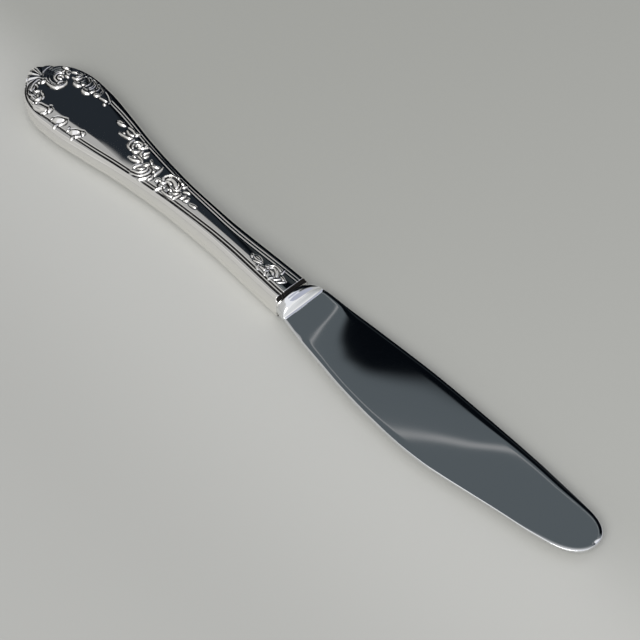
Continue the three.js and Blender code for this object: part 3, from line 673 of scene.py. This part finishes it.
class Board:
    """A node tree that shading is wired on"""

    def __init__(self, tree):
        self.tree = tree
        self.tree.nodes.clear()

    def add(self, kind, settings, values, output=0):
        node = self.tree.nodes.new(kind)
        for key, value in settings.items():
            setattr(node, key, value)
        for key, value in values.items():
            if isinstance(value, Signal):
                self.tree.links.new(value.socket, node.inputs[key])
            else:
                node.inputs[key].default_value = value
        return Signal(self, node.outputs[output])

    def maths(self, operation, *values):
        return self.add("ShaderNodeMath", {"operation": operation}, dict(enumerate(values)))

    def mix(self, share, low, high):
        """Colours mixed by a share"""
        return self.add("ShaderNodeMix", {"data_type": "RGBA"}, {0: share, 6: low, 7: high}, 2)

    def parts(self, vector):
        """The X, Y and Z of a vector"""
        split = self.add("ShaderNodeSeparateXYZ", {}, {"Vector": vector}).socket.node
        return [Signal(self, split.outputs[key]) for key in "XYZ"]

    def place(self):
        """The place on the piece, in metres"""
        return self.add("ShaderNodeTexCoord", {}, {}, "Object")

    def noise(self, scale, detail):
        values = {"Vector": self.place(), "Scale": scale, "Detail": detail}
        return self.add("ShaderNodeTexNoise", {}, values)

    def bump(self, height, strength, distance):
        values = {"Height": height, "Strength": strength, "Distance": distance}
        return self.add("ShaderNodeBump", {}, values)

    def finish(self, kind, surface):
        node = self.tree.nodes.new(kind)
        self.tree.links.new(surface.socket, node.inputs["Surface"])

    def coat(self, values):
        """End a material with the shader that has these values"""
        self.finish("ShaderNodeOutputMaterial", self.add("ShaderNodeBsdfPrincipled", {}, values))


def material_board(name):
    """A new material and the board of its node tree"""
    material = bpy.data.materials.new(name)
    material.use_nodes = True
    return material, Board(material.node_tree)


# Polished silver is bright and warm, with black in the cuts of the ornament: tarnish and painted shade
silver_colour = (0.9, 0.885, 0.86, 1)
tarnish_and_shade_colour = (0.02, 0.019, 0.018, 1)
tarnish_and_shade_fade = (0.12, 0.75)
tarnish_and_shade_patches = 0.25
silver, board = material_board("polished_silver")
smear = board.noise(scale=90, detail=4)
tarnish_and_shade_share = board.add("ShaderNodeAttribute", {"attribute_name": "tarnish_and_shade"}, {}, "Fac")
tarnish_and_shade_mix = (tarnish_and_shade_share + (smear - 0.5) * tarnish_and_shade_patches).step(*tarnish_and_shade_fade)
board.coat({"Base Color": board.mix(tarnish_and_shade_mix, silver_colour, tarnish_and_shade_colour), "Metallic": 1.0,
            "Roughness": 0.01 + smear * 0.02 + tarnish_and_shade_mix * 0.4,
            "Normal": board.bump(board.noise(scale=500, detail=2), strength=0.01, distance=0.00001)})

front_half = stamping("front_half_stamping")
front_half.data.materials.append(silver)
back_half = in_scene("back_half_stamping", front_half.data.copy())
back_half.data.name = "back_half_stamping"
seam_place = Matrix.Translation((0, 0, seam_z))
back_half.data.transform(seam_place @ Matrix.Rotation(math.pi, 4, "X") @ seam_place.inverted())
for half, node in ((front_half, "handle_front_half"), (back_half, "handle_back_half")):
    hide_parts(node)
    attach(half, "root")


# The solder is a film of silver solder in the joint of the two halves, and shows as a thin bright
# line round the rim. Geometry Nodes sweep it along the outline of the handle.
solder_width = 0.15
solder_depth = 0.7
solder_colour = (0.86, 0.85, 0.82, 1)
solder_metal, board = material_board("solder_metal")
ripple = board.noise(scale=700, detail=3)
board.coat({"Base Color": solder_colour, "Metallic": 1.0, "Roughness": 0.12 + ripple * 0.1,
            "Normal": board.bump(ripple, strength=0.2, distance=0.00005)})

rim_mesh = bpy.data.meshes.new("solder_line")
rim_side = np.stack([station_x, station_half], -1)
rim_route = np.vstack([rim_side, rim_side[-2::-1] * (1, -1)])
rim_route = np.column_stack([rim_route, np.zeros(len(rim_route))]) * METRE + origin
rim_mesh.from_pydata(rim_route.tolist(), [(i, i + 1) for i in range(len(rim_route) - 1)], [])
solder_line = in_scene("solder_line", rim_mesh)

film_tree = bpy.data.node_groups.new("solder_film", "GeometryNodeTree")
board = Board(film_tree)
film_tree.interface.new_socket("Geometry", in_out="INPUT", socket_type="NodeSocketGeometry")
film_sizes = {"Film width": solder_width * METRE, "Film depth": solder_depth * METRE}
film_inputs = {
    size: film_tree.interface.new_socket(size, in_out="INPUT", socket_type="NodeSocketFloat")
    for size in film_sizes}
film_tree.interface.new_socket("Geometry", in_out="OUTPUT", socket_type="NodeSocketGeometry")
given = film_tree.nodes.new("NodeGroupInput").outputs
film_width = Signal(board, given["Film width"])
film_depth = Signal(board, given["Film depth"])
route = board.add("GeometryNodeMeshToCurve", {}, {"Mesh": Signal(board, given["Geometry"])})
route = board.add("GeometryNodeSetCurveNormal", {"mode": "Z_UP"}, {"Curve": route})
film_sides = {"Width": film_depth, "Height": film_width}
film = board.add("GeometryNodeCurvePrimitiveQuadrilateral", {}, film_sides)
inwards = board.add("ShaderNodeCombineXYZ", {}, {"X": film_depth * -0.5})
film = board.add("GeometryNodeTransform", {}, {"Geometry": film, "Translation": inwards})
film_sweep = {"Curve": route, "Profile Curve": film, "Fill Caps": True}
film = board.add("GeometryNodeCurveToMesh", {}, film_sweep)
film = board.add("GeometryNodeRealizeInstances", {}, {"Geometry": film})
film = board.add("GeometryNodeSetMaterial", {}, {"Geometry": film, "Material": solder_metal})
film_tree.links.new(film.socket, film_tree.nodes.new("NodeGroupOutput").inputs[0])

# The tree is run once, and the line keeps the plain mesh that comes out
modifier = solder_line.modifiers.new("solder_film", "NODES")
modifier.node_group = film_tree
for size, value in film_sizes.items():
    modifier[film_inputs[size].identifier] = value
graph = bpy.context.evaluated_depsgraph_get()
made = bpy.data.meshes.new_from_object(solder_line.evaluated_get(graph))
made.name = "solder_line"
solder_line.modifiers.remove(modifier)
solder_line.data = made
tidy(solder_line)
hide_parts("solder_seam")
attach(solder_line, "root")


# The blade, its bolster and its tang are one forging of stainless steel, mirror polished. Its faces
# are ground as a thin wedge, a little hollow beyond the bolster, and are rolled over at the back.
knife_length = 215.5
belly = 11.4
back = 10.6
tip_height = 3.6
tip_length = 9
tip_round = 2.7
back_shares = ((0, 0.025, 0.055, 0.107, 0.209, 0.309, 0.409, 0.51, 0.661, 0.76, 0.861, 0.934, 1),
               (0.53, 0.72, 0.78, 0.803, 0.872, 0.933, 0.983, 1, 0.998, 0.985, 0.94, 0.894, 0.845))
edge_shares = ((0, 0.04, 0.075, 0.111, 0.199, 0.283, 0.4, 0.485, 0.567, 0.625, 0.709, 0.79, 0.859, 0.93, 1),
               (0.5, 0.56, 0.622, 0.685, 0.8, 0.905, 0.985, 1, 0.96, 0.882, 0.743, 0.61, 0.51, 0.37, 0.21))
blade_halves = ((111.4, 140, 160, 185, 215.5), (0.62, 0.62, 0.6, 0.52, 0.42))
wedge_angles = ((116, 120, 124, 128, 132, 136, 140, 146, 154, 164, 174, 186, 214),
                (1.4, 1.2, 0.65, 0.35, 0.2, 0.12, 0.16, 0.28, 0.42, 0.585, 0.85, 1.3, 1.85))
hollow_angles = ((116, 120, 124, 128, 132, 136, 146, 154, 174, 214),
                 (0.02, 0.02, 0, -0.01, -0.005, -0.01, -0.035, -0.04, -0.025, -0.01))
ease_power = 3
edge_ease = 2.1
edge_ease_depth = 0.018
edge_rounds = ((111.4, 145, 165, 215.5), (0.38, 0.34, 0.12, 0.12))
edge_halves = ((111.4, 150, 215.5), (0.16, 0.12, 0.08))
back_ease_share = 1.7
back_ease_depth = 0.05
back_roll = ((111.4, 116, 121, 128, 196, 207, 212, 216), (0.5, 0.4, 0.4, 1.15, 1.15, 0.5, 0.2, 0.2))
back_half_thickness = 0.34
bolster_half = 3.82
bolster_half_width = 5.6
bolster_drops = ((0, 0.2, 0.4, 0.6, 0.9, 1.4, 1.9, 2.4, 2.8, 3.1, 3.3, 3.45, 3.6, 3.85, 4.2, 104.1),
                 (0.72, 0.86, 0.96, 1, 0.99, 0.955, 0.92, 0.87, 0.81, 0.69, 0.45, 0.22, 0.1, 0.035, 0, 0))
bolster_spread = 1.4
bolster_round = 2.4
bolster_length = 5
blade_stretch = (116.6, 206)
blade_pitch = 0.4
bolster_stations = 90
tip_stations = 60
edge_columns = 8
face_columns = 46
back_columns = 20
edge_columns_share = 0.024
back_columns_share = 0.075
outline_start = 2
outline_points = 400
outline_tip_points = 200


def blade_reach(x):
    """How far the blade reaches towards its edge and towards its back at a place along it"""
    share = (x - handle_length) / (knife_length - handle_length)
    past = np.clip(x - knife_length + tip_length, 0, tip_length) / tip_length
    left = (1 - past ** tip_round) ** (1 / tip_round)
    low = -belly * smooth_table(edge_shares, share)
    high = back * smooth_table(back_shares, share)
    return tip_height + (low - tip_height) * left, tip_height + (high - tip_height) * left


def round_the_tip(shares):
    """Places along the tip, closer together towards its end"""
    return knife_length - tip_length * (1 - np.sin(shares * np.pi / 2))


def outline_distance(x, y, low_side):
    """The distance of each point of the blade from its outline on one side"""
    straight_x = np.linspace(handle_length + outline_start, knife_length - tip_length, outline_points)
    rim_x = np.concatenate([straight_x, round_the_tip(np.linspace(0, 1, outline_tip_points))])
    low, high = blade_reach(rim_x)
    rim = np.stack([rim_x, low if low_side else high], -1)
    points = np.stack([x, y], -1)
    return np.array([np.sqrt(((ring[:, None] - rim) ** 2).sum(-1).min(-1)) for ring in points])


def rounded(distance, width):
    """The rise of a rounded border, from 0 at its rim to 1 at its width"""
    return np.sqrt(1 - (1 - np.clip(distance / width, 0, 1)) ** 2)


bolster_x = handle_length + np.linspace(0, bolster_length, bolster_stations)
blade_x = np.arange(*blade_stretch, blade_pitch)
forge_x = np.concatenate([bolster_x, blade_x, round_the_tip(np.linspace(0, 1, tip_stations)[1:])])
across = np.concatenate([np.linspace(0, 1, edge_columns)[:-1] * edge_columns_share,
                         np.linspace(edge_columns_share, 1 - back_columns_share, face_columns),
                         1 - np.linspace(1, 0, back_columns)[1:] * back_columns_share])
low, high = blade_reach(forge_x)
grown = ease(forge_x - handle_length, 0, bolster_spread)
low = -bolster_half_width + (low + bolster_half_width) * grown
high = bolster_half_width + (high - bolster_half_width) * grown
face_x = np.repeat(forge_x[:, None], len(across), 1)
face_y = low[:, None] + (high - low)[:, None] * across


def column(table):
    """The values of a table at the blade's stations"""
    return smooth_table(table, forge_x)[:, None]


# The faces follow the grind, are eased towards the edge and the back, and are rounded at both.
# The bolster is blended in over them where it starts.
grind = column(wedge_angles) * face_y - column(hollow_angles) * face_y ** 2 / 2
face_z = column(blade_halves) + np.radians(grind)
edge_gap = np.minimum(outline_distance(face_x, face_y, True), face_y - low[:, None])
back_gap = np.minimum(outline_distance(face_x, face_y, False), high[:, None] - face_y)
face_z = face_z - edge_ease_depth * np.clip(1 - edge_gap / edge_ease, 0, 1) ** ease_power
roll = column(back_roll)
back_ease = 1 + back_ease_share * roll / roll.max()
face_z = face_z - back_ease_depth * np.clip(1 - back_gap / back_ease, 0, 1) ** ease_power
edge_half = column(edge_halves)
edge_z = edge_half + (face_z - edge_half) * rounded(edge_gap, column(edge_rounds))
back_z = back_half_thickness + (face_z - back_half_thickness) * rounded(back_gap, roll)
blade_z = np.minimum(edge_z, back_z)
bolster_z = bolster_half * (1 - np.abs(2 * across - 1) ** bolster_round) ** (1 / bolster_round)
drop = smooth_table(bolster_drops, forge_x - handle_length)[:, None]
forge_z = blade_z + (bolster_z - blade_z) * drop
forge_z[-1] = edge_half[-1]
upper_face = np.stack([face_x, face_y, forge_z], -1)
blade_rings = np.concatenate([upper_face, (upper_face * (1, 1, -1))[:, ::-1]], 1)

# The tang is a bar with rounded corners that grows from its end to the bolster
tang_length = 62
tang_stations = 5
tang_half_width = (1.3, 2.2)
tang_half_thickness = (0.9, 1.4)
tang_corner = 4
tang_cos = np.cos(np.pi * (1 - across))
tang_rings = []
for share in np.linspace(0, 1, tang_stations):
    wide = np.interp(share, (0, 1), tang_half_width)
    thick = np.interp(share, (0, 1), tang_half_thickness)
    tang_x = np.full_like(tang_cos, handle_length - tang_length * (1 - share))
    tang_z = thick * (1 - tang_cos ** tang_corner) ** (1 / tang_corner)
    upper = np.stack([tang_x, wide * tang_cos, tang_z], -1)
    tang_rings.append(np.concatenate([upper, (upper * (1, 1, -1))[::-1]]))
blade = skin("blade_and_bolster", np.concatenate([tang_rings, blade_rings]))

steel_colour = (0.8, 0.81, 0.82, 1)
steel, board = material_board("mirror_steel")
haze = board.noise(scale=60, detail=3)
board.coat({"Base Color": steel_colour, "Metallic": 1.0, "Roughness": 0.012 + haze * 0.02})
blade.data.materials.append(steel)
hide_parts("blade_with_tang")
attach(blade, "root")


# The cement that holds the tang fills the handle from its mouth to past the tang's end. It is a
# brown resin filler, poured in and left matt.
resin_dark = (0.09, 0.05, 0.03, 1)
resin_pale = (0.2, 0.12, 0.07, 1)
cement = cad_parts["tang_cement"]
resin, board = material_board("brown_resin")
grain = board.noise(scale=900, detail=4)
board.coat({"Base Color": board.mix(grain, resin_dark, resin_pale), "Roughness": 0.85 + grain * 0.1,
            "Normal": board.bump(grain, strength=0.4, distance=0.0001)})
cement.data.materials.clear()
cement.data.materials.append(resin)


# The floor is a pale slab with light and shade painted into its colour: a painted shadow of the knife
# makes it darker on the side of the knife's back, most of all along the handle, and painted light
# makes it paler next to the knife on the side of its edge. It is one large face in the plane that
# the knife lies on.
floor_reach = 3
near_floor_painted_dim = (0.4, 0.4, 0.38, 1)
near_floor_painted_lit = (0.47, 0.47, 0.447, 1)
far_floor_deep_painted_shadow = (0.345, 0.347, 0.322, 1)
far_floor_light_painted_shadow = (0.4, 0.402, 0.378, 1)
painted_shadow_edge = (-0.012, 0.02)
near_light_falloff = (-0.08, -0.012)
far_shadow_fade = (-0.1, 0.15)
grain_strength = 0.12
floor_mesh = bpy.data.meshes.new("floor")
corners = [(x * floor_reach, y * floor_reach, 0) for x, y in ((-1, -1), (1, -1), (1, 1), (-1, 1))]
floor_mesh.from_pydata(corners, [], [(0, 1, 2, 3)])
floor = in_scene("floor", floor_mesh)
slab_with_painted_shade, board = material_board("pale_slab_with_painted_shade")
lengthwise, crosswise = board.parts(board.place())[:2]
# The painted shadow on the side of the back and the painted light on the side of the edge meet under the
# knife
shade = crosswise.step(*painted_shadow_edge) + (board.noise(scale=700, detail=3) - 0.5) * grain_strength
near_floor_painted_light = board.mix(crosswise.step(*near_light_falloff), near_floor_painted_dim, near_floor_painted_lit)
far_floor_painted_shadow = board.mix(lengthwise.step(*far_shadow_fade), far_floor_deep_painted_shadow, far_floor_light_painted_shadow)
board.coat({"Base Color": board.mix(shade, near_floor_painted_light, far_floor_painted_shadow), "Roughness": 0.9})
floor.data.materials.append(slab_with_painted_shade)

# The room is what the polished metal shows, laid out in degrees of bearing, from the tip's
# direction towards the back of the blade, and of rise above the floor. It is pale all round, apart
# from a dark side beyond the back, with a grey wall over it. The edge between them slants one way
# for what the blade shows and other ways for what the handle shows. A band of the room has four
# angles: where it starts, is full, begins to fade and ends. A slanting edge has a rise, the
# bearing of the place where it has that rise, and a grade.
room_colour = (0.56, 0.56, 0.55, 1)
window_colour = (1, 1, 1, 1)
high_side_colour = (0.68, 0.68, 0.67, 1)
ceiling_colour = (0.95, 0.96, 1, 1)
lilac_colour = (0.5, 0.52, 0.62, 1)
wall_colour = (0.1, 0.117, 0.128, 1)
streak_colour = (0.34, 0.345, 0.35, 1)
handle_wall_colour = (0.42, 0.425, 0.43, 1)
blade_dark = (0.002, 0.003, 0.0045, 1)
handle_dark = (0.018, 0.023, 0.03, 1)
mouth_dark = (0.03, 0.036, 0.04, 1)
dark_bearings = (98, 112, 165, 180)
wall_bearings = (98, 110, 172, 190)
high_side_bearings = (160, 166, 195, 212)
lilac_bearings = (30, 38, 96, 106)
mouth_rises = (46, 47.5, 50.3, 50.7)
mouth_end = (140.2, 141.2)
window_end = (24, 32)
window_start = (242, 268)
high_side_foot = (46, 50)
lilac_foot = (30, 45)
ceiling_foot = (62, 66)
ceiling_dip = (66, 72)
ceiling_dip_start = (165, 185)
horizon = (-3, 0)
blade_slants = ((53.9, 137, -0.5), (51.4, 141.3, -0.95))
blade_slant_top = 61.8
handle_slants = ((48, 147, 0.3), (49.1, 150.7, -0.65))
handle_side_start = (141.2, 142.4)
handle_side_rise = 51.7
handle_side_lean = 1.3
dark_top = (-0.1, 0.3)
wall_foot = (-3, -2)
wall_top = (63, 65)
streak_rises = (0.98, 1.15, 1.15, 1.32)
first_bearing = -60
world = bpy.data.worlds.new("room")
bpy.context.scene.world = world
world.use_nodes = True
board = Board(world.node_tree)
east, north, up = board.parts(board.add("ShaderNodeTexCoord", {}, {}, "Generated"))
rise = board.maths("ARCSINE", up) * math.degrees(1)
bearing = board.maths("ARCTAN2", north, east) * math.degrees(1)
bearing = board.maths("WRAP", bearing, first_bearing + 360, first_bearing)


def slant(rise_there, bearing_there, grade):
    """The rise of a slanting edge that passes a place with a grade"""
    return (bearing - bearing_there) * grade + rise_there


def lower(first, second):
    return board.maths("MINIMUM", first, second)


def higher(first, second):
    return board.maths("MAXIMUM", first, second)


blade_edge = lower(lower(slant(*blade_slants[0]), blade_slant_top), slant(*blade_slants[1]))
handle_edge = lower(slant(*handle_slants[0]), slant(*handle_slants[1]))
over = rise - higher(blade_edge, handle_edge)
dark = over.fall(*dark_top) * rise.step(*horizon) * bearing.band(*dark_bearings)
wall = over.step(*wall_foot) * rise.fall(*wall_top) * bearing.band(*wall_bearings)
leant = higher((rise - handle_side_rise) * handle_side_lean, 0)
handle_side = (bearing - leant).step(*handle_side_start)
streak = over.band(*streak_rises) * (1 - handle_side)
window = bearing.fall(*window_end) + bearing.step(*window_start)
high_side = rise.step(*high_side_foot) * bearing.band(*high_side_bearings)
dip = bearing.step(*ceiling_dip_start) * rise.fall(*ceiling_dip)
overhead = rise.step(*ceiling_foot) * (1 - dip)
lilac = rise.step(*lilac_foot) * bearing.band(*lilac_bearings)
mouth_side = rise.band(*mouth_rises) * bearing.fall(*mouth_end)
colour = board.mix(window, room_colour, window_colour)
for share, part_colour in (
        (high_side, high_side_colour), (overhead, ceiling_colour), (lilac, lilac_colour),
        (wall, wall_colour), (streak * wall, streak_colour), (handle_side * wall, handle_wall_colour)):
    colour = board.mix(share, colour, part_colour)
shade = board.mix(mouth_side, board.mix(handle_side, blade_dark, handle_dark), mouth_dark)
colour = board.mix(dark, colour, shade)
backdrop = board.add("ShaderNodeBackground", {}, {"Color": colour, "Strength": 1.0})
board.finish("ShaderNodeOutputWorld", backdrop)

# A soft lamp on the side of the edge gives the knife its shadow
lamp_size = 0.7
lamp_power = 8
lamp_place = (0.4, -0.65, 0.9)
lamp_data = bpy.data.lights.new("soft_lamp", "AREA")
lamp_data.shape = "DISK"
lamp_data.size = lamp_size
lamp_data.energy = lamp_power
lamp = in_scene("soft_lamp", lamp_data)
lamp.location = lamp_place
lamp.rotation_euler = (Vector((0, 0, 0)) - lamp.location).to_track_quat("-Z", "Y").to_euler()
bpy.context.scene.view_settings.view_transform = "Standard"
